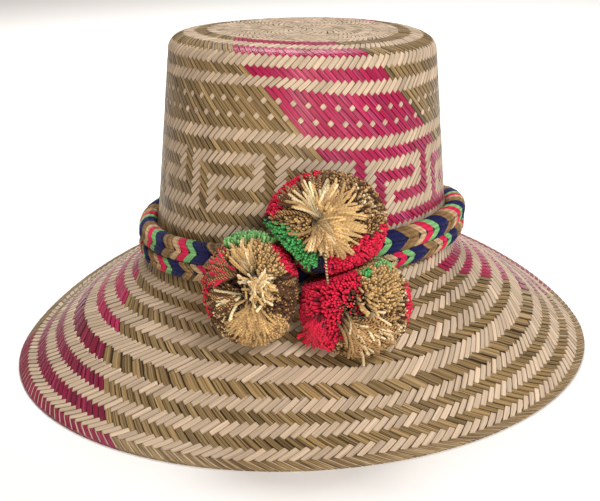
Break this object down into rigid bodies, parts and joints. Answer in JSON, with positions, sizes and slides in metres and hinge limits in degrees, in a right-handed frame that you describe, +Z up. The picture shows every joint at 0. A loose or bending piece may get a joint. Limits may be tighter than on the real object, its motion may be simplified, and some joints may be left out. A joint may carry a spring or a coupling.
{
  "type": "straw hat with pompoms",
  "caption": "Handwoven straw hat with a tall crown, a bell-shaped brim, a plaited yarn band and yarn pompoms on its front, worn on the head for shade.",
  "frame": {"origin": "on the surface that the rim rests on, under the middle of the brim", "axes": "+Z up, -Y towards the front of the hat where the pompoms are, +X to the right as the front is looked at"},
  "size_m": [0.369, 0.369, 0.2014],
  "materials": {
    "straw": "woven, half gloss",
    "band_yarn": "soft plaited yarn in five colours",
    "pompom_yarn": "cut yarn"
  },
  "bodies": {
    "root": {"woven_hat": "straw", "braid_band": "band_yarn", "pompom_top": "pompom_yarn", "pompom_left": "pompom_yarn", "pompom_right": "pompom_yarn"}
  },
  "joints": []
}
